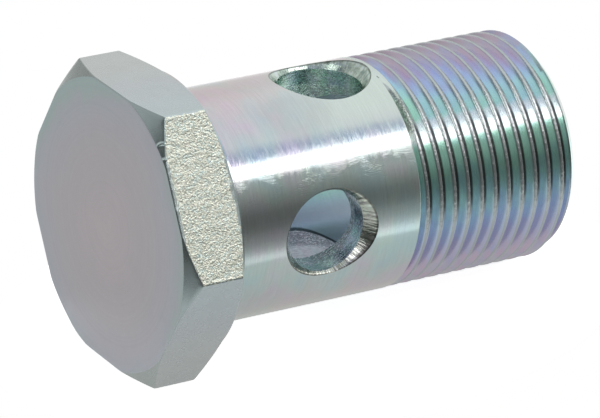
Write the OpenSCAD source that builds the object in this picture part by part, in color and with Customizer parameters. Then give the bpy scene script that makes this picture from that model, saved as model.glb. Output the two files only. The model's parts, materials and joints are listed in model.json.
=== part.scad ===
// Banjo bolt: a hollow hexagon bolt that holds a ring fitting and lets fluid pass through its shank.
// The bolt lies along X. The head is towards -X and the thread towards +X.
// The origin is in the bearing face under the head, on the bolt's axis.
// Two flats of the hexagon are level, and the cross drillings run along Y and along Z.

/* [Head] */
// Width of the hexagon across its flats
across_flats = 27; // [25:0.5:36]
// Height of the head, from the outer face to the bearing face
head_height = 6.6; // [5:0.1:16]
// How far the outer chamfer reaches in from the corners
outer_chamfer_reach = 1.85; // [0.5:0.05:3]
// How far the chamfer on the bearing side reaches in from the corners
bearing_chamfer_reach = 2.15; // [0.5:0.05:2.5]
// Angle of both head chamfers to the head's faces, in degrees
head_chamfer_angle = 30; // [15:1:35]
// Height of the round washer face that bears on the sealing washer
washer_face_height = 0.2; // [0.1:0.05:1]

/* [Shank] */
// Diameter of the plain shank
shank_d = 22; // [20:0.1:23]
// Length of the plain shank, from the bearing face to the groove before the thread
plain_length = 20.45; // [20:0.05:30]
// Radius of the fillet where the shank meets the bearing face
neck_fillet = 0.4; // [0.1:0.05:0.8]

/* [Thread] */
// How much smaller the thread's outside diameter is than the shank
thread_allowance = 0.1; // [0.05:0.01:0.4]
// Distance between neighbouring turns of the thread
thread_pitch = 1.5; // [1:0.25:2]
// Width of the groove's floor, between the shank's shoulder and the first turn
start_groove_width = 0.75; // [0.5:0.05:1.5]
// Length under the head, from the bearing face to the end of the thread
length_under_head = 38; // [34:0.5:70]
// Width of the 45 degree chamfer at the end of the thread
end_chamfer = 0.8; // [0.2:0.1:1.2]

/* [Axial bore] */
// Diameter of the blind bore along the axis
bore_d = 15.5; // [11:0.1:16.5]
// Depth of the bore at its full diameter, from the end of the thread
bore_depth = 32; // [24:0.5:33]
// Point angle of the drill that leaves the conical bottom, in degrees
drill_point_angle = 118; // [90:1:140]
// Width of the 45 degree chamfer at the mouth of the bore
bore_mouth_chamfer = 0.5; // [0.2:0.1:1]

/* [Cross drillings] */
// Diameter of each cross drilling
port_d = 8; // [4:0.1:9]
// Distance from the bearing face to the drilling that runs along Y
first_port_x = 10.85; // [8:0.05:11]
// Distance along the bolt from the first drilling to the one that runs along Z
port_stagger = 4.85; // [0:0.05:5]
// Diameter of each countersink where it breaks through the top of the shank
countersink_d = 9.8; // [9.1:0.1:11]
// Included angle of the countersinks, in degrees
countersink_angle = 75; // [60:1:100]

/* [Hidden] */
// How far a cutting shape passes through a surface
over = 1;
corner_r = across_flats / sqrt(3);
outer_face_r = corner_r - outer_chamfer_reach;
washer_face_r = corner_r - bearing_chamfer_reach;
chamfer_slope = tan(head_chamfer_angle);
shank_r = shank_d / 2;
thread_r = shank_r - thread_allowance / 2;
// A 60 degree thread's pitch radius lies this share of the pitch below its outside radius
pitch_radius_share = 0.3248;
groove_depth = pitch_radius_share * thread_pitch;
groove_r = thread_r - groove_depth;
groove_end_x = plain_length + start_groove_width;
thread_start_x = groove_end_x + groove_depth * tan(30);
bore_r = bore_d / 2;
bore_end_x = length_under_head - bore_depth;
bore_tip_x = bore_end_x - bore_r / tan(drill_point_angle / 2);
port_r = port_d / 2;
countersink_slope = tan(countersink_angle / 2);
countersink_floor = shank_r - (countersink_d / 2 - port_r) / countersink_slope;
$fn = 96;

// Turns a shape that stands on the XY plane so that its axis runs along +X
module along_x() {
    rotate([0, 90, 0])
        children();
}

// The turned envelope of the head: a chamfer on each side and the washer face
module head_envelope() {
    rotate_extrude()
        polygon([
            [0, -head_height],
            [outer_face_r, -head_height],
            [corner_r, -head_height + outer_chamfer_reach * chamfer_slope],
            [corner_r, -washer_face_height - bearing_chamfer_reach * chamfer_slope],
            [washer_face_r, -washer_face_height],
            [washer_face_r, 0],
            [0, 0]
        ]);
}

// The hexagon bar that the head is cut from, with corners towards +Y and -Y
module hexagon_bar() {
    rotate([0, 0, 30])
        translate([0, 0, -head_height - over])
            cylinder(r = corner_r, h = head_height + 2 * over, $fn = 6);
}

module head() {
    intersection() {
        hexagon_bar();
        head_envelope();
    }
}

// Plain shank, groove, thread at its outside diameter and end chamfer, as one turned shape
module shank() {
    rotate_extrude()
        polygon([
            [0, -over],
            [shank_r, -over],
            [shank_r, plain_length],
            [groove_r, plain_length],
            [groove_r, groove_end_x],
            [thread_r, thread_start_x],
            [thread_r, length_under_head - end_chamfer],
            [thread_r - end_chamfer, length_under_head],
            [0, length_under_head]
        ]);
}

// The ring of metal that rounds the corner between the shank and the bearing face
module neck() {
    rotate_extrude()
        translate([shank_r, 0])
            difference() {
                square(neck_fillet);
                translate([neck_fillet, neck_fillet])
                    circle(r = neck_fillet);
            }
}

// Blind bore with its conical bottom and its chamfered mouth
module axial_bore() {
    rotate_extrude()
        polygon([
            [0, bore_tip_x],
            [bore_r, bore_end_x],
            [bore_r, length_under_head - bore_mouth_chamfer],
            [bore_r + bore_mouth_chamfer + over, length_under_head + over],
            [0, length_under_head + over]
        ]);
}

// One mouth of a cross drilling: a cone that opens towards +Z, through the shank's surface
module countersink() {
    depth = shank_r - countersink_floor + over;
    translate([0, 0, countersink_floor])
        cylinder(r1 = port_r, r2 = port_r + depth * countersink_slope, h = depth);
}

// A drilling right across the shank along Z, countersunk at both mouths
module cross_drilling() {
    cylinder(d = port_d, h = shank_d + 2 * over, center = true);
    for (side = [0, 1])
        rotate([180 * side, 0, 0])
            countersink();
}

module banjo_bolt() {
    color("gainsboro")
        difference() {
            along_x() {
                head();
                shank();
                neck();
            }
            along_x()
                axial_bore();
            translate([first_port_x, 0, 0])
                rotate([90, 0, 0])
                    cross_drilling();
            translate([first_port_x + port_stagger, 0, 0])
                cross_drilling();
        }
}

banjo_bolt();
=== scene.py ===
import json
import math

import bmesh
import bpy
import numpy as np
from mathutils import Matrix, Vector, noise


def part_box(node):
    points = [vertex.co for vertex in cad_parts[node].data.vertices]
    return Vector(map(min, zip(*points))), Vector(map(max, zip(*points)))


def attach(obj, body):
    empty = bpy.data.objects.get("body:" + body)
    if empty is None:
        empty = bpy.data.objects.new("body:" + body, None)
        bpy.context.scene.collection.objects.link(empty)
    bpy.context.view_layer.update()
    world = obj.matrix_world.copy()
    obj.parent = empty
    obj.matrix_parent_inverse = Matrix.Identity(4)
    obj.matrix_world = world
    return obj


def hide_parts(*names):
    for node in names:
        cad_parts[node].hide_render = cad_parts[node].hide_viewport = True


# The bolt is worked out in millimetres and scaled to metres when its mesh is made.
# Angles round the bolt's axis are in degrees: 0 points to -Y and 90 to +Z.
MM = 0.001

# Camera, as fitted to the photograph
CAMERA_PLACE = (-218.605, -361.48, 187.346)
CAMERA_FORWARD = (0.4954, 0.7691, -0.4038)
CAMERA_UP = (0.178, 0.3651, 0.9138)
SENSOR_WIDTH = 36.0
LENS = 301.62

# Head
FACE_CHAMFER_REACH = 1.85
BEARING_CHAMFER_REACH = 2.15
CHAMFER_ANGLE = 30
WASHER_FACE_HEIGHT = 0.2
HEAD_EDGE_R = 0.16
HEXAGON_EDGE_R = 0.35
HAMMER_DEPTH = 0.03
NICK_PLACE = (-6.45, -9.0, 10.73)
NICK_R = 0.75

# Shank
NECK_FILLET = 0.4
SHOULDER_X = 20.45
SHOULDER_EDGE_R = 0.1

# Thread
PITCH = 1.5
FIRST_CREST_X = 21.293
CREST_WIDTH = 0.3
NEAR_CREST_R = 0.22
FAR_CREST_R = 0.08
ROOT_R = 0.2
FLANK_ANGLE = 30
SHOULDER_WALL_ANGLE = 20
NOTCH_START = 80
NOTCH_FADE = 36
END_CHAMFER = 0.8

# Bore and cross drillings
DRILL_POINT_ANGLE = 118
BORE_MOUTH_CHAMFER = 0.5
PORT_R = 4.0
FIRST_PORT_X = 10.85
SECOND_PORT_X = 15.7
COUNTERSINK_SLOPE = math.tan(math.radians(37.5))
COUNTERSINK_FLOOR = 9.83
PORT_LIP = 0.1
# A drilling's mouth is cut from inside the axial bore to outside the shank
PORT_CUT_FROM = 4.5
PORT_CUT_TO = 12.5
# Given as the distance to a drilling for points between its two mouths
FAR_OFF = 99

# Finishes, in the order of the bolt's material slots
FINISHES = ["turned", "thread", "head", "hammered", "face", "drilled", "countersunk", "bore"]

# Clear film on the zinc. Its colours repeat every half turn, and a ramp of FILM_STEPS holds them.
FILM_START = -60
FILM_SPAN = 180
FILM_STEPS = 18
# Wavelengths of red, green and blue light, in nanometres
LIGHT_WAVES = (610.0, 545.0, 460.0)
# Share of the blue light that comes back
FILM_BLUE = 0.92
# Angle at which a film's painted highlight is strongest
FILM_PAINTED_GAIN_ANGLE = 58
# The light's way in a film is path nanometres, less swing at the middle angle, and bend varies it
# at twice the turn. level is the film's lightness, strength says how much it tints, fade takes
# that share of the tint off a quarter turn away, and the last one paints it lighter on one side as a
# painted highlight.
SHANK_FILM = {
    "level": 0.57, "middle": 17.5, "path": 899, "swing": 38, "bend": 108,
    "strength": 0.12, "fade": 0.0, "lift": 0.0,
}
FLANK_FILM = {
    "level": 0.64, "middle": 26.0, "path": 1024, "swing": 176, "bend": 155,
    "strength": 0.3, "fade": 0.8, "lift": 0.16,
}
STRONG_FLANK_FILM = {**FLANK_FILM, "level": 0.62, "strength": 0.42}
HEAD_FILM = {**SHANK_FILM, "level": 0.56, "middle": 30.0, "strength": 0.06}
BORE_FILM = {
    **FLANK_FILM, "level": 0.66, "middle": 30.0, "strength": 0.22, "fade": 0.5, "lift": 0.0,
}

# Colours of the shank
SHANK_PATCHES = [
    (0.36, (0.9, 1.02, 1.02)), (0.47, (0.96, 1.03, 0.98)), (0.56, (1.02, 1.0, 0.98)),
    (0.66, (1.05, 0.97, 1.02)),
]
SHANK_LOW_TINT = (0.985, 1.055, 0.975)
SHANK_HIGH = (0.54, 0.62, 0.585)
# A duller patch lies on the shank below the drilling in the bolt's top
DULL_PATCH_X = 10.0
DULL_PATCH_LENGTH = 5.0
DULL_PATCH_ANGLE = 64.0
DULL_PATCH_TURN = 20.0

# Colours of the thread
FLANK_PINK = (0.64, 0.5, 0.6)
# Pale colour of the painted highlight on the flanks
FLANK_PAINTED_HIGHLIGHT = (0.82, 0.85, 0.85)
CREST_SIDE = (0.51, 0.56, 0.56)
CREST_TOP = (0.4, 0.45, 0.46)
CREST_MERGED = (0.57, 0.655, 0.62)
TORN_CREST = (0.5, 0.58, 0.52)

# Colours of the head. The outer face's stops go out from its centre as far as FACE_STOPS_R.
HEAD_SIDE_TINT = (0.9, 1.0, 1.02)
HEAD_CHAMFER_TINT = (0.8, 0.93, 0.93)
HAMMERED_STOPS = [
    (0.3, (0.65, 0.81, 0.77)), (0.45, (0.72, 0.81, 0.71)), (0.58, (0.76, 0.81, 0.67)),
    (0.72, (0.75, 0.78, 0.71)),
]
FACE_STOPS_R = 14.0
FACE_STOPS = [
    (0.0, (0.6, 0.555, 0.575)), (0.3, (0.575, 0.545, 0.57)), (0.55, (0.56, 0.545, 0.565)),
    (0.75, (0.55, 0.55, 0.59)), (0.88, (0.53, 0.555, 0.6)), (0.96, (0.5, 0.57, 0.57)),
    (1.0, (0.47, 0.58, 0.57)),
]

# Colours of the cross drillings, of their countersinks and of the bore
DRILLED_STOPS = [(0.35, (0.47, 0.64, 0.62)), (0.5, (0.52, 0.64, 0.66)), (0.65, (0.57, 0.62, 0.68))]
DRILLED_TOP_STOPS = [(0.35, (0.5, 0.76, 0.62)), (0.5, (0.58, 0.76, 0.67)), (0.65, (0.62, 0.74, 0.73))]
DRILLED_LOW_STOPS = [(0.35, (0.49, 0.51, 0.59)), (0.5, (0.48, 0.53, 0.61)), (0.65, (0.47, 0.55, 0.62))]
CONE_STOPS = [(0.3, (0.54, 0.66, 0.6)), (0.5, (0.64, 0.69, 0.6)), (0.7, (0.66, 0.68, 0.68))]
# Pale colour of the painted highlight low on the front countersink
CONE_PAINTED_HIGHLIGHT = (0.9, 0.9, 0.87)
CONE_TOP_TINT = (0.98, 1.09, 1.1)
# Torn metal in the bore, painted lighter as painted light
BORE_TORN_PAINTED_LIGHT = (0.85, 1.0, 0.95)

# Studio. The stops go up from straight below to straight above. A number stands for a grey.
FRONT_STOPS = [
    (0.1, 0.67), (0.17, 0.7), (0.2, 0.8), (0.225, 1.08), (0.25, 0.93),
    (0.275, 0.68), (0.3, 0.5), (0.34, 0.36), (0.39, 0.27), (0.45, 0.18),
    (0.5, 0.155), (0.56, 0.165), (0.62, 0.24), (0.68, 0.34), (0.735, 0.48),
    (0.8, 0.62), (0.87, (0.52, 0.57, 0.76)), (0.9, (0.56, 0.61, 0.78)), (0.94, 1.06),
]
LEFT_STOPS = [
    (0.1, 0.66), (0.3, 0.61), (0.45, 0.49), (0.51, 0.43), (0.55, 0.48),
    (0.64, 0.7), (0.8, 0.52), (0.95, 0.55),
]
RIGHT_STOPS = [
    (0.07, 0.65), (0.14, 0.66), (0.2, 0.95), (0.25, 1.45), (0.32, 1.35),
    (0.42, 0.87), (0.5, 0.8), (0.7, 0.9), (0.84, 1.06), (0.93, 1.05),
]
# The long narrow light: its lower and upper edge, and where it fades in and out, in degrees
STRIP_LOW = 0.617
STRIP_HIGH = 0.726
STRIP_BEARINGS = (8, 16, 70, 80)
STRIP_COLOUR = (4.4, 4.0, 4.0)
# A small lamp high on the left
SIDE_LAMP_TOWARDS = (-0.66, -0.33, 0.67)
SIDE_LAMP_ANGLE = 13
SIDE_LAMP_COLOUR = (1.7, 1.75, 1.7)
# The floor: how far its middle lies from the head, and its gap under the bolt
FLOOR_R = 24
FLOOR_STRETCH = 1.35
FLOOR_MIDDLE = 16
FLOOR_GAP = 0.02

# Angle from which an edge is shaded as sharp
SHARP_ANGLE = 32

# Mesh density: degrees between columns, and segments round a drilling
COLUMN_STEP = 2.0
ROUGH_COLUMN_STEP = 0.75
CUTTER_SEGMENTS = 180


def read_frame():
    """The sizes that the CAD model settles, in millimetres."""
    lowest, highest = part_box("banjo_bolt")
    mounts = {m["name"]: m for m in frame["record"]["mounts"]}
    bore = mounts["axial_bore"]
    return {
        "flat": highest.z / MM,
        "head": -lowest.x / MM,
        "length": highest.x / MM,
        "shank_r": mounts["shank"]["dims"]["r_mm"],
        "thread_r": mounts["thread"]["dims"]["r_mm"],
        "bore_r": bore["dims"]["r_mm"],
        "bore_end": highest.x / MM - bore["dims"]["length_mm"] - BORE_MOUTH_CHAMFER,
    }


def column_angles():
    """Angles of the mesh's columns, closer on the rough flat and at the corners."""
    rough = np.arange(0, 60, ROUGH_COLUMN_STEP)
    even = np.arange(60, 360, COLUMN_STEP)
    near_corner = np.array([-1.1, -0.7, -0.35, 0.35, 0.7, 1.1])
    corners = (np.arange(6)[:, None] * 60 + near_corner).ravel() % 360
    return np.unique(np.round(np.concatenate([rough, even, corners]), 4))


def ring(x, r, angles):
    """Points at distance r from the axis. x and r are numbers or one value a column."""
    a = np.radians(angles)
    x = np.broadcast_to(x, a.shape)
    return np.stack([x, -r * np.cos(a), r * np.sin(a)], 1)


def hexagon_radius(angles, flat, edge_r):
    """Distance from the axis to a hexagon with rounded corners at 0, 60, 120 degrees."""
    from_corner = np.radians((angles + 30) % 60 - 30)
    to_flat = flat / np.cos(math.radians(30) - np.abs(from_corner))
    centre = (flat - edge_r) / math.cos(math.radians(30))
    inside = edge_r ** 2 - (centre * np.sin(from_corner)) ** 2
    to_arc = centre * np.cos(from_corner) + np.sqrt(np.maximum(inside, 0))
    tangent = math.atan2(edge_r / 2, centre + edge_r * math.cos(math.radians(30)))
    return np.where(np.abs(from_corner) < tangent, to_arc, to_flat)


def head_rings(size, angles):
    """Rings from the centre of the outer face to the foot of the chamfer on the bearing side."""
    slope = math.radians(CHAMFER_ANGLE)
    corner_r = size["flat"] / math.cos(math.radians(30))
    face_r = corner_r - FACE_CHAMFER_REACH
    washer_r = corner_r - BEARING_CHAMFER_REACH
    e = HEAD_EDGE_R
    side = hexagon_radius(angles, size["flat"] - e, HEXAGON_EDGE_R)
    face_x = -size["head"] + e
    # Each chamfer is a line that is moved inwards by the edge radius
    shift = e / math.cos(slope)
    front_x = -size["head"] + shift + (side - face_r) * math.tan(slope)
    front_x = np.maximum(front_x, face_x)
    face_edge = face_r - (e / math.sin(slope) - e / math.tan(slope))
    face_edge = np.minimum(face_edge, side)
    rear_x = -WASHER_FACE_HEIGHT - shift - (side - washer_r) * math.tan(slope)
    rings = []

    def arc(x, r, start, stop, steps):
        for a in np.radians(np.linspace(start, stop, steps)):
            rings.append(ring(x + e * math.cos(a), r + e * math.sin(a), angles))

    def between(x0, r0, x1, r1, steps):
        for t in np.linspace(0, 1, steps + 2)[1:-1]:
            rings.append(ring(x0 + (x1 - x0) * t, r0 + (r1 - r0) * t, angles))

    for share in np.linspace(0, 1, 8)[:-1]:
        rings.append(ring(-size["head"], share * face_edge, angles))
    arc(face_x, face_edge, 180, 150, 3)
    between(
        face_x - e * math.cos(slope), face_edge + e * math.sin(slope),
        front_x - e * math.cos(slope), side + e * math.sin(slope), 3)
    arc(front_x, side, 150, 90, 4)
    between(front_x, side + e, rear_x, side + e, 34)
    arc(rear_x, side, 90, 30, 4)
    foot_x = -WASHER_FACE_HEIGHT
    between(rear_x + e * math.cos(slope), side + e * math.sin(slope), foot_x, washer_r, 4)
    rings.append(ring(foot_x, washer_r, angles))
    return [hammered(points, angles, size) for points in rings]


def hammered(points, angles, size):
    """Pits and swells on the one rough flat of the hexagon, between 0 and 60 degrees."""
    out = np.array([0, -math.cos(math.radians(30)), math.sin(math.radians(30))])
    share = smooth_step(angles / 2) * smooth_step((60 - angles) / 2)
    near = points @ out - (size["flat"] - 2.2 * HEAD_EDGE_R)
    share = share * smooth_step(near / (1.5 * HEAD_EDGE_R))
    points = points.copy()
    for k in np.flatnonzero(share > 0):
        place = Vector(points[k])
        swell = noise.noise(place * 1.7) * 0.6 + noise.noise(place * 3.6) * 0.4
        points[k] += out * share[k] * (swell * HAMMER_DEPTH - HAMMER_DEPTH / 2)
    return points


def seat_rings(size, angles):
    """Rings of the washer face, the bearing face, the neck's fillet and the shank."""
    washer_r = size["flat"] / math.cos(math.radians(30)) - BEARING_CHAMFER_REACH
    shank_r = size["shank_r"]
    bevel = 0.05
    rings = [
        ring(-bevel, washer_r, angles),
        ring(0.0, washer_r - bevel, angles),
        ring(0.0, (washer_r + shank_r) / 2, angles),
    ]
    for a in np.radians(np.linspace(270, 180, 6)):
        x = NECK_FILLET + NECK_FILLET * math.sin(a)
        r = shank_r + NECK_FILLET + NECK_FILLET * math.cos(a)
        rings.append(ring(x, r, angles))
    edge = SHOULDER_EDGE_R
    for x in np.linspace(NECK_FILLET, SHOULDER_X - edge, 16)[1:]:
        rings.append(ring(x, shank_r, angles))
    for a in np.radians((60, 30, 0)):
        x = SHOULDER_X - edge + edge * math.cos(a)
        drop = edge * (1 - math.sin(a)) * (1 - unbroken(angles))
        rings.append(ring(x, shank_r - drop, angles))
    return rings


def smooth_min(a, b, k):
    """The lower of a and b, rounded over k where they cross."""
    h = np.clip(0.5 + 0.5 * (b - a) / k, 0, 1)
    return b * (1 - h) + a * h - k * h * (1 - h)


def smooth_step(t):
    """Goes smoothly from 0 to 1 while t does."""
    t = np.clip(t, 0, 1)
    return t * t * (3 - 2 * t)


def rounded_corner(off, turn_r):
    """Depth under a corner of the crest, by distance beyond it. turn_r rounds it off."""
    slope = math.radians(FLANK_ANGLE)
    reach = turn_r * math.tan(math.radians(45) - slope / 2)
    arc_off = off + reach
    arc = turn_r - np.sqrt(np.maximum(turn_r ** 2 - arc_off ** 2, 0))
    flank = off / math.tan(slope)
    return np.where(arc_off < 0, 0, np.where(off < reach * math.sin(slope), arc, flank))


def sharp_depth():
    """Depth at which the flanks of two neighbouring crests would meet."""
    return (PITCH - CREST_WIDTH) / 2 / math.tan(math.radians(FLANK_ANGLE))


def thread_profile(off_crest):
    """Depth below the crest, by distance along the bolt from the crest's middle."""
    near = rounded_corner(-off_crest - CREST_WIDTH / 2, NEAR_CREST_R)
    far = rounded_corner(off_crest - CREST_WIDTH / 2, FAR_CREST_R)
    off_root = PITCH / 2 - np.abs(off_crest)
    arc = sharp_depth() - 2 * ROOT_R + np.sqrt(np.maximum(ROOT_R ** 2 - off_root ** 2, 0))
    in_root = off_root < ROOT_R * math.cos(math.radians(FLANK_ANGLE))
    return np.where(in_root, arc, np.maximum(near, far))


def unbroken(angles):
    """1 where the first crest still merges with the plain shank, 0 where a notch parts them."""
    begun = smooth_step((angles - NOTCH_START + NOTCH_FADE) / NOTCH_FADE)
    return smooth_step(begun) * smooth_step((200 - angles) / NOTCH_FADE)


def shoulder_wall(size, x):
    """The steep wall at the end of the plain shank."""
    steep = math.tan(math.radians(SHOULDER_WALL_ANGLE))
    return size["shank_r"] - SHOULDER_EDGE_R - (x - SHOULDER_X) / steep


def thread_radius(size, x, angles):
    """Distance from the axis to the thread's surface."""
    crest_r = size["thread_r"]
    turns = (x + PITCH * angles / 360 - FIRST_CREST_X) / PITCH
    nearest = np.round(turns)
    cut = thread_profile((turns - nearest) * PITCH)
    merged = np.where(nearest == 0, unbroken(angles), 0)
    top = crest_r + (size["shank_r"] - crest_r) * merged
    r = top - cut * np.where(turns < nearest, 1 - merged, 1)
    r = np.maximum(r, shoulder_wall(size, x))
    chamfer = crest_r - (x - (size["length"] - END_CHAMFER))
    return smooth_min(r, chamfer, 0.05)


def thread_offsets():
    """Where the rings lie across one ridge of the thread, from its crest."""
    half = CREST_WIDTH / 2
    near = NEAR_CREST_R * math.tan(math.radians(30))
    far = FAR_CREST_R * math.tan(math.radians(30))
    foot = PITCH / 2 - ROOT_R * math.cos(math.radians(FLANK_ANGLE))
    left = [-foot - 0.12, -foot - 0.06, -foot, -foot + 0.15, -half - near / 2]
    left += [-half - near / 4, -half + 0.02, -half + near * 0.6, -half + near]
    right = [half - far, half - far / 3, half + far / 4, half + far / 2]
    right += [foot - 0.15, foot, foot + 0.06, foot + 0.12, PITCH / 2]
    return left + right


def notch_bottom(size, angles):
    """Where the shoulder's wall meets the thread, for each column."""
    x = np.linspace(SHOULDER_X, SHOULDER_X + 0.8, 161)[:, None]
    open_air = thread_radius(size, x, angles[None, :]) > shoulder_wall(size, x) + 1e-6
    return SHOULDER_X + 0.005 * np.argmax(open_air, axis=0)


def thread_rings(size, angles):
    """Rings that follow the helix and stop at the shoulder's wall and at the end face."""
    bottom = notch_bottom(size, angles)
    offsets = thread_offsets()
    first = math.floor((SHOULDER_X - FIRST_CREST_X) / PITCH)
    last = math.ceil((size["length"] - FIRST_CREST_X) / PITCH) + 1
    wall, rings = [], []
    for share in (0.0, 0.33, 0.66):
        x = SHOULDER_X + (bottom - SHOULDER_X) * share
        wall.append(ring(x, thread_radius(size, x, angles), angles))
    for turn in range(first, last + 1):
        for offset in offsets:
            x = FIRST_CREST_X + turn * PITCH + offset - PITCH * angles / 360
            x = np.minimum(np.maximum(x, bottom), size["length"])
            rings.append(ring(x, thread_radius(size, x, angles), angles))
    return wall, rings


def bore_rings(size, angles):
    """Rings of the end face, the bore and its conical bottom."""
    length = size["length"]
    bore_r = size["bore_r"]
    tip_x = size["bore_end"] - bore_r / math.tan(math.radians(DRILL_POINT_ANGLE / 2))
    mouth_r = bore_r + BORE_MOUTH_CHAMFER
    rings = [ring(length, mouth_r, angles)]
    for x in np.linspace(length - BORE_MOUTH_CHAMFER, size["bore_end"], 10):
        rings.append(ring(x, bore_r, angles))
    for share in (0.75, 0.5, 0.25, 0.0):
        x = tip_x + (size["bore_end"] - tip_x) * share
        rings.append(ring(x, bore_r * share, angles))
    return rings


def mesh_from_grid(name, rings, closed_ends=False, helix=None):
    """One mesh of quads between neighbouring rings, with doubled points merged.

    helix is (first, last, turn): the rings from first to last climb one turn of rings
    each time round, so their last column joins the first column of the turn before."""
    count = len(rings[0])
    points = np.concatenate(rings) * MM
    faces = []

    def start_of(k):
        if helix and helix[0] <= k < helix[1]:
            return max(k - helix[2], helix[0])
        return k

    for k in range(len(rings) - 1):
        for i in range(count - 1):
            low = k * count + i
            faces.append((low, low + 1, low + 1 + count, low + count))
        faces.append((
            k * count + count - 1, start_of(k) * count,
            start_of(k + 1) * count, (k + 1) * count + count - 1))
    mesh = bpy.data.meshes.new(name)
    mesh.from_pydata(points.tolist(), [], faces)
    work = bmesh.new()
    work.from_mesh(mesh)
    bmesh.ops.remove_doubles(work, verts=work.verts, dist=2e-7)
    bmesh.ops.dissolve_degenerate(work, dist=1e-7, edges=work.edges)
    if closed_ends:
        bmesh.ops.holes_fill(work, edges=work.edges, sides=0)
    bmesh.ops.recalc_face_normals(work, faces=work.faces)
    work.to_mesh(mesh)
    work.free()
    return mesh


def port_cutter(name, size, centre_x, axis):
    """The space of one drilling's mouth. It points to +Z, or to -Y, and has a soft lip."""
    phi = np.radians(np.linspace(0, 360, CUTTER_SEGMENTS, endpoint=False))
    shank_r = size["shank_r"]
    # Where the countersink meets the shank, by angle round the drilling
    low = np.full_like(phi, PORT_R)
    high = np.full_like(phi, PORT_R + 2)
    for _ in range(40):
        mid = (low + high) / 2
        surface = np.sqrt(shank_r ** 2 - (mid * np.sin(phi)) ** 2)
        cone = COUNTERSINK_FLOOR + (mid - PORT_R) / COUNTERSINK_SLOPE
        low = np.where(cone < surface, mid, low)
        high = np.where(cone < surface, high, mid)
    rim_r = (low + high) / 2
    rim_h = COUNTERSINK_FLOOR + (rim_r - PORT_R) / COUNTERSINK_SLOPE
    lip = PORT_LIP
    # Radius and height of each ring, from inside the bore out over the lip
    profile = [
        (PORT_R, PORT_CUT_FROM),
        (PORT_R, 7.0),
        (PORT_R, 8.5),
        (PORT_R, COUNTERSINK_FLOOR),
        (PORT_R + (rim_r - PORT_R) * 0.5, COUNTERSINK_FLOOR + (rim_h - COUNTERSINK_FLOOR) * 0.5),
        (rim_r - lip * COUNTERSINK_SLOPE, rim_h - lip),
        (rim_r + lip * 0.1, rim_h - lip * 0.42),
        (rim_r + lip * 0.75, rim_h + lip * 0.02),
        (rim_r + lip * 3, rim_h + lip * 1.2),
        (rim_r + lip * 3, PORT_CUT_TO),
    ]
    rings = []
    for r, h in profile:
        r = np.broadcast_to(r, phi.shape)
        h = np.broadcast_to(h, phi.shape)
        across = r * np.sin(phi)
        if axis == "Z":
            points = np.stack([centre_x + r * np.cos(phi), across, h], 1)
        else:
            points = np.stack([centre_x + r * np.cos(phi), -h, across], 1)
        rings.append(points)
    return mesh_from_grid(name, rings, closed_ends=True)


def joined(name, meshes):
    """One mesh of several that don't touch."""
    work = bmesh.new()
    for mesh in meshes:
        work.from_mesh(mesh)
    mesh = bpy.data.meshes.new(name)
    work.to_mesh(mesh)
    work.free()
    return mesh


def turned_over(mesh, name):
    """A copy of a mesh turned half a turn about the bolt's axis."""
    copy = mesh.copy()
    copy.name = name
    copy.transform(Matrix.Rotation(math.pi, 4, "X"))
    return copy


def add_object(name, data):
    """A new object in the scene, with this mesh or camera."""
    obj = bpy.data.objects.new(name, data)
    bpy.context.scene.collection.objects.link(obj)
    return obj


def apply_modifiers(obj):
    """Keeps what obj's modifiers make of its mesh as its new mesh."""
    bpy.context.view_layer.update()
    graph = bpy.context.evaluated_depsgraph_get()
    result = bpy.data.meshes.new_from_object(obj.evaluated_get(graph))
    obj.modifiers.clear()
    obj.data = result


def cut(obj, cutter):
    """Takes the cutter's space out of obj."""
    change = obj.modifiers.new("cut", "BOOLEAN")
    change.operation = "DIFFERENCE"
    change.solver = "MANIFOLD"
    change.object = cutter
    apply_modifiers(obj)
    bpy.data.objects.remove(cutter)


def make_bolt():
    """The whole bolt as one object, with its finishes."""
    size = read_frame()
    angles = column_angles()
    plain = head_rings(size, angles) + seat_rings(size, angles)
    wall, thread = thread_rings(size, angles)
    plain += wall
    helix = (len(plain), len(plain) + len(thread), len(thread_offsets()))
    rings = plain + thread + bore_rings(size, angles)
    bolt = add_object("bolt_body", mesh_from_grid("bolt_body", rings, helix=helix))
    first = port_cutter("first_port", size, FIRST_PORT_X, "Y")
    second = port_cutter("second_port", size, SECOND_PORT_X, "Z")
    mouths = [
        first, turned_over(first, "first_port_rear"),
        second, turned_over(second, "second_port_low")]
    cut(bolt, add_object("ports", joined("ports", mouths)))
    shade_smooth(bolt, size)
    bolt.data.materials.clear()
    for material in make_finishes():
        bolt.data.materials.append(material)
    name_faces(bolt.data, size)
    return bolt


def mesh_values(items, name, width=1, kind=float):
    """One attribute of a mesh's items, as an array with one row an item."""
    out = np.empty(len(items) * width, dtype=kind)
    items.foreach_get(name, out)
    return out if width == 1 else out.reshape(-1, width)


def face_facts(mesh):
    """Middle of every face, in millimetres, and its direction."""
    return mesh_values(mesh.polygons, "center", 3) / MM, mesh_values(mesh.polygons, "normal", 3)


def port_distances(points):
    """How far each point lies from the axis of each cross drilling, or FAR_OFF between its mouths."""
    x, y, z = points.T
    first = np.where(np.abs(y) > PORT_R, np.hypot(x - FIRST_PORT_X, z), FAR_OFF)
    second = np.where(np.abs(z) > PORT_R, np.hypot(x - SECOND_PORT_X, y), FAR_OFF)
    return first, second


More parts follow.
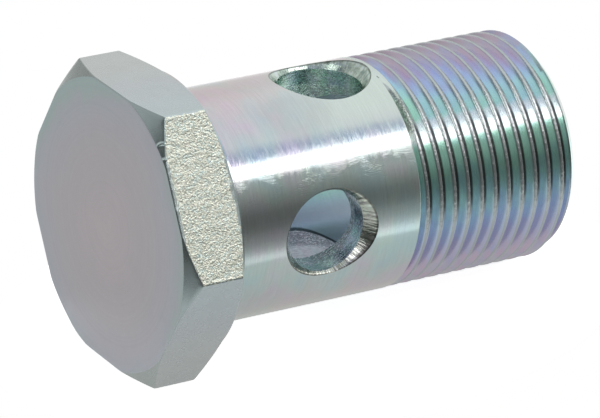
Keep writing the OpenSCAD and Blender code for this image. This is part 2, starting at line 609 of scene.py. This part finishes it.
def name_faces(mesh, size):
    """Gives every face the number of its finish, by where it lies on the bolt."""
    middle, normal = face_facts(mesh)
    x = middle[:, 0]
    r = np.hypot(middle[:, 1], middle[:, 2])
    outward = (normal[:, 1] * middle[:, 1] + normal[:, 2] * middle[:, 2]) / np.maximum(r, 1e-6)
    first, second = port_distances(middle)
    near = np.minimum(first, second)
    height = np.where(first < second, np.abs(middle[:, 1]), np.abs(middle[:, 2]))
    to_rough = normal[:, 1] * -math.sin(math.radians(60)) + normal[:, 2] * 0.5
    cone = (height > COUNTERSINK_FLOOR - 0.01) & (near < PORT_R + 1.4)
    # A later region takes over from an earlier one
    regions = [
        ("thread", (x > SHOULDER_X - 0.02) & (r > size["bore_r"] + 1)),
        ("head", x < -WASHER_FACE_HEIGHT),
        ("hammered", (to_rough > 0.93) & (x < -0.6) & (x > -size["head"] + 0.3)),
        ("face", (x < -size["head"] + 0.06) & (normal[:, 0] < -0.9)),
        ("bore", (outward < 0.2) & (x > 0) & (r < size["bore_r"] + 0.01)),
        ("drilled", (near < PORT_R + 0.005) & (height < COUNTERSINK_FLOOR)),
        ("countersunk", cone & (r < size["shank_r"] - 0.002)),
    ]
    kind = np.full(len(x), FINISHES.index("turned"), dtype=np.int32)
    for name, inside in regions:
        kind[inside] = FINISHES.index(name)
    mesh.polygons.foreach_set("material_index", kind)


def thread_normals(size, points):
    """Directions of the thread's surface, from its formula."""
    x, y, z = points.T
    angles = np.degrees(np.arctan2(z, -y)) % 360
    step = 0.004
    by_x = thread_radius(size, x + step, angles) - thread_radius(size, x - step, angles)
    turn = math.degrees(step / size["thread_r"])
    by_a = thread_radius(size, x, angles + turn) - thread_radius(size, x, angles - turn)
    a = np.radians(angles)
    n = np.stack([
        -by_x / (2 * step) * np.ones_like(a),
        -np.cos(a) - by_a / (2 * step) * np.sin(a),
        np.sin(a) - by_a / (2 * step) * np.cos(a)], 1)
    return n / np.linalg.norm(n, axis=1)[:, None]


def weigh_normals(obj):
    """Smooth shading in which large faces count for more, split at sharp edges."""
    mesh = obj.data
    mesh.polygons.foreach_set("use_smooth", [True] * len(mesh.polygons))
    mesh.set_sharp_from_angle(angle=math.radians(SHARP_ANGLE))
    weigh = obj.modifiers.new("weigh", "WEIGHTED_NORMAL")
    weigh.keep_sharp = True
    weigh.weight = 50
    apply_modifiers(obj)


def shade_smooth(obj, size):
    """Smooth shading with the true directions on the shank, in the bore and on the thread."""
    weigh_normals(obj)
    mesh = obj.data
    normals = mesh_values(mesh.corner_normals, "vector", 3)
    corner = mesh_values(mesh.loops, "vertex_index", kind=np.int32)
    points = mesh_values(mesh.vertices, "co", 3)[corner] / MM
    sides = mesh_values(mesh.polygons, "loop_total", kind=np.int32)
    face_of = np.repeat(np.arange(len(sides)), sides)
    middle, normal = face_facts(mesh)
    x = points[:, 0]
    r = np.hypot(points[:, 1], points[:, 2])
    radial = np.stack([np.zeros_like(x), points[:, 1], points[:, 2]], 1) / np.maximum(r, 1e-6)[:, None]
    along = np.einsum("ij,ij->i", radial, normal[face_of])
    shank = (np.abs(r - size["shank_r"]) < 0.01) & (along > 0.94)
    shank &= (x > NECK_FILLET - 0.001) & (x < SHOULDER_X - SHOULDER_EDGE_R + 0.001)
    normals[shank] = radial[shank]
    bore = (np.abs(r - size["bore_r"]) < 0.01) & (along < -0.99)
    normals[bore] = -radial[bore]
    ridge = (middle[:, 0] > SHOULDER_X + 0.001) & (middle[:, 0] < size["length"] - 0.001)
    ridge &= np.hypot(middle[:, 1], middle[:, 2]) > size["bore_r"] + 1.2
    chosen = ridge[face_of]
    exact = thread_normals(size, points[chosen])
    agree = np.einsum("ij,ij->i", exact, normal[face_of][chosen]) > 0.5
    where = np.flatnonzero(chosen)[agree]
    normals[where] = exact[agree]
    normals /= np.linalg.norm(normals, axis=1)[:, None]
    mesh.normals_split_custom_set(normals.tolist())


def rgba(colour):
    """A colour as nodes take it. A number stands for a grey."""
    return (*colour, 1) if isinstance(colour, tuple) else (colour, colour, colour, 1)


class Value:
    """What comes out of a node, so that formulas can be written with it."""

    def __init__(self, nodes, socket):
        self.nodes = nodes
        self.socket = socket

    def __add__(self, other):
        return self.nodes.math("ADD", self, other)

    def __sub__(self, other):
        return self.nodes.math("SUBTRACT", self, other)

    def __rsub__(self, other):
        return self.nodes.math("SUBTRACT", other, self)

    def __mul__(self, other):
        return self.nodes.math("MULTIPLY", self, other)

    def __truediv__(self, other):
        return self.nodes.math("DIVIDE", self, other)

    def __abs__(self):
        return self.nodes.math("ABSOLUTE", self)


class Nodes:
    """Builds a node tree in short lines."""

    def __init__(self, tree):
        self.tree = tree
        tree.nodes.clear()

    def add(self, kind, **settings):
        """A new node with these settings."""
        node = self.tree.nodes.new(kind)
        for name, value in settings.items():
            setattr(node, name, value)
        return node

    def put(self, socket, value):
        """Links a socket, or sets it to a number, a vector or a colour."""
        if isinstance(value, Value):
            self.tree.links.new(value.socket, socket)
        elif socket.type == "RGBA":
            socket.default_value = rgba(value)
        elif socket.type == "VECTOR" and not isinstance(value, tuple):
            socket.default_value = (value, value, value)
        else:
            socket.default_value = value

    def result(self, kind, values, output=0, **settings):
        """One output of a new node that has these values on its inputs."""
        node = self.add(kind, **settings)
        for key, value in values.items():
            self.put(node.inputs[key], value)
        return Value(self, node.outputs[output])

    def show(self, kind, shader):
        """Makes a shader the one that the tree gives out."""
        self.put(self.add(kind).inputs["Surface"], shader)

    def math(self, operation, a, b=0.0):
        """One step of a formula, on vectors where a is a vector or a colour."""
        on_vectors = isinstance(a, Value) and a.socket.type in ("VECTOR", "RGBA")
        kind = "ShaderNodeVectorMath" if on_vectors else "ShaderNodeMath"
        output = 1 if operation in ("DOT_PRODUCT", "LENGTH") else 0
        return self.result(kind, {0: a, 1: b}, output, operation=operation)

    def turn(self, up, along):
        """Angle of a direction, in degrees from -180 to 180."""
        return self.math("ARCTAN2", up, along) * math.degrees(1)

    def join(self, x, y, z):
        """A vector of three numbers."""
        return self.result("ShaderNodeCombineXYZ", {0: x, 1: y, 2: z})

    def split(self, vector):
        """The three numbers of a vector."""
        node = self.add("ShaderNodeSeparateXYZ")
        self.put(node.inputs[0], vector)
        return [Value(self, socket) for socket in node.outputs]

    def span(self, value, low, high, to_low=0.0, to_high=1.0):
        """Goes smoothly from to_low, where value is low, to to_high, where it is high."""
        numbers = dict(enumerate((value, low, high, to_low, to_high)))
        return self.result(
            "ShaderNodeMapRange", numbers, clamp=True, interpolation_type="SMOOTHSTEP")

    def band(self, value, start, full, fall, end):
        """1 where value is from full to fall, and 0 before start and after end."""
        return self.span(value, start, full) * self.span(value, end, fall)

    def noise(self, place, scale, detail=2.0, rough=0.5):
        """Cloudy noise from 0 to 1, with scale cells in each unit of place."""
        values = {"Vector": place, "Scale": scale, "Detail": detail, "Roughness": rough}
        return self.result("ShaderNodeTexNoise", values, "Fac")

    def ramp(self, value, stops):
        """A colour by value, from (value, colour) stops."""
        node = self.add("ShaderNodeValToRGB")
        ramp = node.color_ramp
        for k, (place, colour) in enumerate(stops):
            stop = ramp.elements[k] if k < 2 else ramp.elements.new(place)
            stop.position = place
            stop.color = rgba(colour)
        self.put(node.inputs[0], value)
        return Value(self, node.outputs[0])

    def mix(self, share, a, b):
        """The colour a where share is 0 and b where it is 1."""
        return self.result("ShaderNodeMix", {0: share, 6: a, 7: b}, 2, data_type="RGBA")

    def blend(self, share, a, b):
        """The number a where share is 0 and b where it is 1."""
        return self.result("ShaderNodeMix", {0: share, 2: a, 3: b}, data_type="FLOAT")


class Metal(Nodes):
    """A metal's nodes, with what they know of each point, in millimetres and degrees."""

    def __init__(self, name):
        self.material = bpy.data.materials.new(name)
        self.material.use_nodes = True
        super().__init__(self.material.node_tree)
        self.shader = self.add("ShaderNodeBsdfPrincipled")
        self.shader.inputs["Metallic"].default_value = 1
        self.show("ShaderNodeOutputMaterial", Value(self, self.shader.outputs[0]))
        self.place = self.result("ShaderNodeTexCoord", {}, "Object") * (1 / MM)
        self.x, self.y, self.z = self.split(self.place)
        self.r = self.math("LENGTH", self.join(0.0, self.y, self.z))
        self.angle = self.turn(self.z, self.y * -1.0)

    def facing(self):
        """How far the surface faces along X, from -1 to 1."""
        return self.split(self.result("ShaderNodeTexCoord", {}, "Normal"))[0]

    def film(self, waver, kind):
        """Colour of the zinc's clear film, by angle round the bolt."""
        share = (self.angle + waver + (2.0 * FILM_SPAN - FILM_START)) / FILM_SPAN
        return self.ramp(self.math("FRACT", share), film_stops(kind))

    def wavering(self, scale, degrees):
        """Noise in degrees, to make the film's colours wander."""
        return (self.noise(self.place, scale, 3.0, 0.6) - 0.5) * (2.0 * degrees)

    def round_noise(self, across, along, detail=3.0, rough=0.7):
        """Noise drawn out round the axis. It has across cells a mm and along cells a degree."""
        place = self.join(self.x * across, self.angle * along, self.r * 0.7)
        return self.noise(place, 1.0, detail, rough)

    def paint(self, colour, shade, roughness):
        """Gives the metal its colour times shade, and its roughness."""
        self.put(self.shader.inputs["Base Color"], colour * shade)
        self.put(self.shader.inputs["Roughness"], roughness)

    def brush_round(self, stretch):
        """Stretches the gloss across the turning lines, which run round the axis."""
        tangent = self.result("ShaderNodeTangent", {}, direction_type="RADIAL", axis="X")
        self.put(self.shader.inputs["Anisotropic"], stretch)
        self.put(self.shader.inputs["Anisotropic Rotation"], 0.25)
        self.put(self.shader.inputs["Tangent"], tangent)

    def bump(self, *heights):
        """Bump from (value, millimetres) pairs."""
        total = 0.0
        for value, depth in heights:
            total = value * depth + total
        values = {"Strength": 1, "Distance": MM, "Height": total}
        self.put(self.shader.inputs["Normal"], self.result("ShaderNodeBump", values))


def varied(value, strength):
    """1, give or take strength, by a noise value from 0 to 1."""
    return (value - 0.5) * (2.0 * strength) + 1.0


def film_tint(kind, angle):
    """Shares of red, green and blue that a kind of film reflects, by angle round the bolt."""
    a = math.radians(angle - kind["middle"])
    path = kind["path"] - kind["swing"] * math.cos(a) + kind["bend"] * math.cos(2 * a)
    strength = kind["strength"] * (1 - kind["fade"] * (1 - math.cos(a)))
    # A painted highlight makes a film lighter on one side of the bolt
    gain = 1 + kind["lift"] * max(math.cos(math.radians(angle - FILM_PAINTED_GAIN_ANGLE)), 0) ** 4
    tint = [gain + strength * math.cos(math.tau * path / wave) for wave in LIGHT_WAVES]
    return tint[0], tint[1], tint[2] * FILM_BLUE


def film_stops(kind):
    """Ramp stops of a film's colours, over the half turn from FILM_START on."""
    stops = []
    for k in range(FILM_STEPS + 1):
        tint = film_tint(kind, FILM_START + FILM_SPAN * k / FILM_STEPS)
        stops.append((k / FILM_STEPS, tuple(kind["level"] * share for share in tint)))
    return stops


# From here to bore_metal, m is the Metal that is being made
def shank_colour(m):
    """Film colours of the plain shank, in patches of slightly different hue."""
    hue = m.round_noise(0.9, 0.03, 2.0, 0.6)
    colour = m.film(m.wavering(0.3, 16.0) + (hue - 0.5) * 30.0, SHANK_FILM)
    colour = colour * m.ramp(m.noise(m.place, 0.22, 2.0, 0.55), SHANK_PATCHES)
    # The lower side is a little greener
    colour = colour * m.mix(m.span(m.angle, 0.0, -12.0), 1, SHANK_LOW_TINT)
    # So is the upper side towards the thread
    high = m.span(m.x, 5.0, 17.0) * m.band(m.angle, 36.0, 62.0, 84.0, 112.0)
    return m.mix(high, colour, SHANK_HIGH)


def shank_shade(m, lines, streaks):
    """Lightness of the plain shank, which grows a little towards the thread, with painted light on its
    front.
    """
    shade = varied(lines, 0.1) * varied(streaks, 0.06) * m.span(m.x, 2.0, 12.0, 1.0, 1.04)
    from_patch = m.math("LENGTH", m.join(
        (m.x - DULL_PATCH_X) / DULL_PATCH_LENGTH, (m.angle - DULL_PATCH_ANGLE) / DULL_PATCH_TURN, 0.0))
    shade = shade * m.span(from_patch, 1.0, 0.4, 1.0, 0.91)
    # Painted light: the front is painted brighter beside the thread
    front = m.span(m.x, 12.0, 17.0) * m.band(m.angle, -12.0, 2.0, 26.0, 34.0)
    return shade * m.blend(front, 1.0, 1.3)


def turned_metal(m):
    """The plain shank: fine turning lines, and scuffs along its length."""
    lines = m.round_noise(8.0, 0.045)
    streaks = m.round_noise(4.5, 0.11, 3.0, 0.65)
    chatter = m.round_noise(8.0, 0.3, 3.0, 0.65)
    # A worn line runs along the shank under its upper front side
    worn = m.span(m.noise(m.place, 0.5, 2.0, 0.6), 0.42, 0.6)
    worn = worn * m.band(m.angle, 20.0, 27.0, 33.0, 38.0)
    scuff = (m.round_noise(1.1, 2.6) - 0.5) * (worn + 0.12)
    gloss = m.blend(worn, m.span(streaks, 0.3, 0.7, 0.1, 0.18), 0.24)
    m.paint(shank_colour(m), shank_shade(m, lines, streaks), gloss)
    m.brush_round(0.85)
    m.bump((lines, 0.002), (chatter, 0.007), (scuff, 0.011))


def flank_colour(m, depth):
    """Film colours of the thread's flanks, with painted light on their front and a painted highlight
    above it.
    """
    # The colours run ahead on the first turn and on the last, and where the flanks are teal
    ends = m.span(m.x, 22.7, 21.9, 0.0, -20.0) + m.span(m.x, 36.3, 37.0, 0.0, -24.0)
    ahead = ends * m.span(m.angle, 15.0, 45.0) + m.band(m.angle, 46.0, 50.0, 57.0, 66.0) * -7.0
    waver = m.wavering(0.35, 22.0) + ahead
    # The upper half of each flank, on the bolt's top and bottom, has a stronger tint
    high = m.span(depth, 0.55, 0.3) * m.span(abs(m.angle - 20.0), 42.0, 60.0)
    colour = m.mix(high, m.film(waver, FLANK_FILM), m.film(waver, STRONG_FLANK_FILM))
    pink = high * m.span(m.noise(m.place, 0.28), 0.44, 0.6, 0.0, 0.6)
    colour = m.mix(pink, colour, FLANK_PINK)
    # Painted light: the front is painted brighter, and a little higher up a painted highlight makes
    # the flanks pale and nearly neutral where the long light falls
    colour = colour * m.blend(m.band(m.angle, -6.0, 4.0, 22.0, 34.0), 1.0, 1.12)
    painted_highlight = m.band(m.angle, 33.0, 37.0, 46.0, 50.0) * 0.75
    return m.mix(painted_highlight, colour, FLANK_PAINTED_HIGHLIGHT)


def crest_colour(m, depth):
    """Colour of the bare crests, which are paler on the side than on the bolt's top and bottom."""
    colour = m.mix(m.span(abs(m.angle - 28.0), 20.0, 52.0), CREST_SIDE, CREST_TOP)
    # Where the first crest still merges with the shank it has the shank's colour
    return m.mix(m.span(depth, -0.01, -0.035), colour, CREST_MERGED)


def thread_metal(m):
    """The thread: strong film colours on its flanks, and bare worn crests."""
    depth = read_frame()["thread_r"] - m.r
    flank = m.span(abs(m.facing()), 0.3, 0.75)
    colour = m.mix(flank, crest_colour(m, depth), flank_colour(m, depth))
    lines = m.round_noise(9.0, 0.04)
    # Painted shade darkens the roots, on the side only
    root = m.span(depth, 0.7, 0.8) * m.band(m.angle, -14.0, 4.0, 40.0, 54.0)
    shade = varied(lines, 0.1) * m.blend(root, 1.0, 0.2)
    # The first crest begins unfinished, with dark torn specks
    torn = m.band(m.angle, 38.0, 46.0, 58.0, 70.0) * m.span(m.x, 21.35, 21.15)
    grain = m.noise(m.place, 7.0, 3.0, 0.7)
    colour = m.mix(torn * 0.7, colour, TORN_CREST)
    shade = shade * m.blend(torn, 1.0, m.span(grain, 0.42, 0.6, 0.45, 1.1))
    # A faint line of painted shade runs along the front
    shade = shade * m.span(abs(m.angle + 4.0), 6.0, 2.0, 1.0, 0.88)
    m.paint(colour, shade, m.blend(flank, 0.22, 0.2))
    m.brush_round(0.6)
    nicks = m.span(m.noise(m.place, 2.4, 3.0, 0.7), 0.4, 0.75) * (1.0 - flank)
    m.bump((lines, 0.0015), (nicks, 0.02), (grain * torn, 0.04))


def head_metal(m):
    """The trimmed sides of the head, with a fine grain and a nick in one chamfer, its raised rim with
    a painted highlight.
    """
    chamfer = m.span(m.facing(), -0.3, -0.6)
    colour = m.film(m.wavering(0.4, 8.0), HEAD_FILM)
    colour = colour * m.mix(chamfer, HEAD_SIDE_TINT, HEAD_CHAMFER_TINT)
    cloud = m.noise(m.place, 0.6, 3.0, 0.6)
    grain = m.noise(m.place, 9.0, 3.0, 0.6)
    from_nick = m.math("LENGTH", m.place - NICK_PLACE)
    nick = m.span(from_nick, NICK_R, NICK_R - 0.25)
    rim = m.span(abs(from_nick - NICK_R), 0.24, 0.06)
    # The nick's raised rim is also painted brighter, a painted highlight
    shade = varied(cloud, 0.08) * m.blend(rim, 1.0, 1.7)
    m.paint(colour, shade, m.span(cloud, 0.3, 0.7, 0.24, 0.3))
    m.bump((grain, 0.0015), (cloud, 0.01), (nick, -0.06), (rim, 0.04))


def hammered_metal(m):
    """The one flat with a pitted skin, like orange peel."""
    pits = m.noise(m.place, 5.8, 2.0, 0.6)
    fine = m.noise(m.place, 14.0, 2.0, 0.6)
    colour = m.ramp(m.noise(m.place, 3.0, 2.0, 0.6), HAMMERED_STOPS)
    m.paint(colour, m.span(pits, 0.32, 0.6, 0.68, 1.02) * varied(fine, 0.1), 0.3)
    m.bump((pits, 0.058), (fine, 0.006))


def face_metal(m):
    """The outer face: faint rings round its centre, bluer towards the rim."""
    # The green rim is widest on the upper left and fades below
    left = m.span(abs(m.angle - 125.0), 70.0, 25.0) * 2.2
    right = m.span(abs(m.angle - 5.0), 55.0, 25.0) * 1.3
    out = m.r + (m.math("MAXIMUM", left, right) - 1.3) + m.wavering(0.35, 1.8)
    colour = m.ramp(out / FACE_STOPS_R, FACE_STOPS)
    rings = m.noise(m.join(m.r * 2.6, 0.0, 0.0), 1.0, 3.0, 0.6)
    cloud = m.noise(m.place, 0.5, 3.0, 0.6)
    grain = m.noise(m.place, 8.0, 3.0, 0.6)
    m.paint(colour, varied(rings, 0.07) * varied(cloud, 0.07), m.span(cloud, 0.3, 0.7, 0.3, 0.36))
    m.bump((rings, 0.004), (grain, 0.0015))


def spot_in_port(m):
    """1 in the drilling along Z and 0 in the other, height out of it, and angle round it."""
    out_y, out_z = abs(m.y), abs(m.z)
    upright = m.math("GREATER_THAN", out_z, out_y)
    across = m.blend(upright, m.z, m.y)
    middle = m.blend(upright, FIRST_PORT_X, SECOND_PORT_X)
    return upright, m.math("MAXIMUM", out_y, out_z), m.turn(across, m.x - middle)


def port_noise(m, port, out, along, detail, rough):
    """Noise in a drilling. It has out cells a mm of height and along cells a degree."""
    upright, height, angle = port
    return m.noise(m.join(height * out, angle * along, upright), 1.0, detail, rough)


def drilled_metal(m):
    """Walls of the cross drillings: rings left by the drill, and torn bright specks."""
    port = spot_in_port(m)
    rings = port_noise(m, port, 3.6, 0.012, 2.0, 0.6)
    torn = port_noise(m, port, 6.0, 0.16, 3.0, 0.7)
    # The drilling in the bolt's top is green, the one underneath is mauve
    hue = m.noise(m.place, 0.9, 2.0, 0.6)
    underneath = m.span(m.z, -6.0, -7.0)
    colour = m.mix(m.span(m.z, 6.0, 7.0), m.ramp(hue, DRILLED_STOPS), m.ramp(hue, DRILLED_TOP_STOPS))
    colour = m.mix(underneath, colour, m.ramp(hue, DRILLED_LOW_STOPS))
    # Torn edge where the drilling breaks into the bore
    rag = m.span(port[1], 8.5, 7.8) * m.span(torn, 0.45, 0.6)
    # Underneath, rings show more than torn metal
    torn = m.blend(underneath * 0.75, torn, 0.5)
    shade = varied(rings, 0.25) * m.span(torn, 0.35, 0.65, 0.7, 1.3)
    m.paint(colour, shade, m.span(torn, 0.3, 0.7, 0.14, 0.3))
    m.bump((rings, 0.035), (torn, 0.04), (rag, 0.06))


def countersunk_metal(m):
    """The countersinks: flutes of chatter that run down the cone, fainter in the top one."""
    port = spot_in_port(m)
    upright, _, angle = port
    cloud = m.noise(m.place, 1.2, 3.0, 0.6)
    flutes = m.blend(upright * 0.55, port_noise(m, port, 0.4, 0.22, 3.0, 0.65), cloud)
    # A painted highlight low on the front one, and a greener tone in the top one
    low = m.band(angle, -66.0, -52.0, -30.0, -18.0) * (1.0 - upright)
    colour = m.mix(low, m.ramp(cloud, CONE_STOPS), CONE_PAINTED_HIGHLIGHT)
    colour = m.mix(upright, colour, colour * CONE_TOP_TINT)
    # Painted shade darkens the edge where the cone breaks out of the shank
    edge = m.span(m.r, 10.84, 10.95, 1.0, 0.35)
    shade = m.span(flutes, 0.38, 0.6, 0.55, 1.15) * edge
    m.paint(colour, shade, m.span(cloud, 0.3, 0.7, 0.14, 0.24))
    m.bump((flutes, 0.075), (cloud, 0.03))


def bore_metal(m):
    """The axial bore: smooth, with film colours, a few streaks, and painted shadow and light."""
    streaks = m.round_noise(5.0, 0.03, 3.0, 0.65)
    # Painted shadow along the edges of the cross drillings
    to_ports = [
        m.math("LENGTH", m.join(m.x - middle, across, 0.0))
        for middle, across in ((FIRST_PORT_X, m.z), (SECOND_PORT_X, m.y))]
    painted_edge_shadow = m.span(m.math("MINIMUM", *to_ports), PORT_R + 0.4, PORT_R + 0.25)
    # The shadow is painted below z = 3 mm only, and the bore is painted a little lighter above z = -5
    # mm, as painted light
    edge = m.blend(painted_edge_shadow * m.span(m.z, 3.0, 0.0), m.span(m.z, -5.9, -5.0, 0.98, 1.1), 0.22)
    # Torn metal on the far side, which shows under the wall of the drilling in the bolt's top, is
    # rough and bumpy and painted lighter there as painted light
    torn = m.band(m.x, 16.0, 18.0, 27.0, 30.0) * m.span(abs(m.angle - 150.0), 32.0, 20.0)
    grain = m.round_noise(1.2, 0.6)
    colour = m.mix(torn, m.film(m.wavering(0.3, 6.0), BORE_FILM), BORE_TORN_PAINTED_LIGHT)
    shade = m.blend(torn, varied(streaks, 0.12) * edge, m.span(grain, 0.4, 0.6, 0.5, 1.0))
    m.paint(colour, shade, m.blend(torn, 0.2, 0.5))
    m.bump((streaks, 0.003), (torn * grain, 0.12))


def make_finishes():
    """The bolt's materials, in the order of FINISHES."""
    makers = [
        turned_metal, thread_metal, head_metal, hammered_metal, face_metal,
        drilled_metal, countersunk_metal, bore_metal]
    finishes = []
    for name, maker in zip(FINISHES, makers):
        metal = Metal(name)
        maker(metal)
        finishes.append(metal.material)
    return finishes


def studio_sides(nodes, x, height):
    """Tone of the studio on its sides and at its back."""
    return nodes.mix(
        nodes.span(x, -0.12, 0.0), nodes.ramp(height, LEFT_STOPS), nodes.ramp(height, RIGHT_STOPS))


def studio_front(nodes, x, z, height):
    """Tone of the studio towards -Y, which is darker on the left and overhead."""
    left = nodes.span(x, 0.42, -0.25, 0.0, 0.45) + nodes.span(x, -0.5, -0.95, 0.0, 0.17)
    left = left * nodes.span(z, -0.6, -0.4)
    overhead = nodes.span(z, 0.8, 0.92) * nodes.span(x, 0.45, 0.1, 0.0, 0.3)
    return nodes.ramp(height, FRONT_STOPS) * (1.0 - (left + overhead))


def studio_strip(nodes, x, y, z):
    """1 on the long narrow light and 0 beside it."""
    low = nodes.span(z, STRIP_LOW - 0.035, STRIP_LOW + 0.02)
    high = nodes.span(z, STRIP_HIGH + 0.012, STRIP_HIGH - 0.012)
    return low * high * nodes.band(nodes.turn(x, y * -1.0), *STRIP_BEARINGS)


def make_world():
    """The studio: graded walls, a long narrow light and a small lamp. The camera sees it white."""
    world = bpy.data.worlds.new("studio")
    bpy.context.scene.world = world
    world.use_nodes = True
    nodes = Nodes(world.node_tree)
    towards = nodes.result("ShaderNodeTexCoord", {}, "Generated")
    x, y, z = nodes.split(towards)
    height = z * 0.5 + 0.5
    # The front takes in more of the left than of the right
    in_front = nodes.math("DOT_PRODUCT", towards, (-0.3, -0.95, 0.0))
    in_front = nodes.span(in_front + nodes.math("MAXIMUM", x * -0.18, 0.0), 0.0, 0.14)
    colour = nodes.mix(in_front, studio_sides(nodes, x, height), studio_front(nodes, x, z, height))
    colour = nodes.mix(studio_strip(nodes, x, y, z), colour, STRIP_COLOUR)
    to_lamp = nodes.math("DOT_PRODUCT", towards, tuple(Vector(SIDE_LAMP_TOWARDS).normalized()))
    edge = [math.cos(math.radians(SIDE_LAMP_ANGLE + k)) for k in (3, -3)]
    colour = nodes.mix(nodes.span(to_lamp, *edge), colour, SIDE_LAMP_COLOUR)
    colour = nodes.mix(nodes.result("ShaderNodeLightPath", {}, "Is Camera Ray"), colour, 1)
    nodes.show("ShaderNodeOutputWorld", nodes.result("ShaderNodeBackground", {"Color": colour}))


def floor_material():
    """A pale floor that is lit up to near white and still takes the bolt's shadow."""
    material = bpy.data.materials.new("floor")
    material.use_nodes = True
    nodes = Nodes(material.node_tree)
    camera = nodes.result("ShaderNodeLightPath", {}, "Is Camera Ray")
    glossy = nodes.result("ShaderNodeLightPath", {}, "Is Glossy Ray")
    plain = nodes.result("ShaderNodeBsdfDiffuse", {"Color": nodes.blend(glossy, 0.8, 0.4)})
    strength = nodes.blend(camera, glossy * 0.48, 0.85)
    glow = nodes.result("ShaderNodeEmission", {"Strength": strength})
    nodes.show("ShaderNodeOutputMaterial", nodes.result("ShaderNodeAddShader", {0: plain, 1: glow}))
    return material


def make_floor(size):
    """A round pale floor that the head's rear edge and the thread both touch."""
    head_low = Vector((-WASHER_FACE_HEIGHT, 0, -size["flat"]))
    thread_low = Vector((size["length"] - END_CHAMFER, 0, -size["thread_r"]))
    along = (thread_low - head_low).normalized()
    up = Vector((-along.z, 0, along.x))
    work = bmesh.new()
    bmesh.ops.create_circle(work, cap_ends=True, cap_tris=False, segments=96, radius=FLOOR_R * MM)
    mesh = bpy.data.meshes.new("floor")
    work.to_mesh(mesh)
    work.free()
    floor = add_object("floor", mesh)
    turn = Matrix((along, up.cross(along), up)).transposed().to_4x4()
    middle = head_low + along * FLOOR_MIDDLE - up * FLOOR_GAP
    floor.matrix_world = Matrix.Translation(middle * MM) @ turn @ Matrix.Diagonal(
        (FLOOR_STRETCH, 1, 1, 1))
    mesh.materials.append(floor_material())


def make_camera():
    """The camera that took the photograph."""
    data = bpy.data.cameras.new("camera")
    data.sensor_width = SENSOR_WIDTH
    data.lens = LENS
    data.clip_start = 0.01
    data.clip_end = 10
    camera = add_object("camera", data)
    back = -Vector(CAMERA_FORWARD).normalized()
    right = Vector(CAMERA_UP).cross(back).normalized()
    up = back.cross(right)
    turn = Matrix((right, up, back)).transposed().to_4x4()
    camera.matrix_world = Matrix.Translation(Vector(CAMERA_PLACE) * MM) @ turn
    bpy.context.scene.camera = camera


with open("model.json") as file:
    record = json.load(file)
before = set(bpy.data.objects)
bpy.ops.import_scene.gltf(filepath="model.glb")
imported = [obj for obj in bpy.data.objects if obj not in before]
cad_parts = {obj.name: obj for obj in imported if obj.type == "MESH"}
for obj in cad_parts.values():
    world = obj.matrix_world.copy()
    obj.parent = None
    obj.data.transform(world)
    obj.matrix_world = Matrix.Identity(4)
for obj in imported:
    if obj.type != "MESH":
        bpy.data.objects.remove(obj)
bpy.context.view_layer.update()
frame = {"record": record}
make_camera()
bolt = make_bolt()
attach(bolt, "root")
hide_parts("banjo_bolt")
make_world()
make_floor(read_frame())
bpy.context.scene.view_settings.view_transform = "Standard"
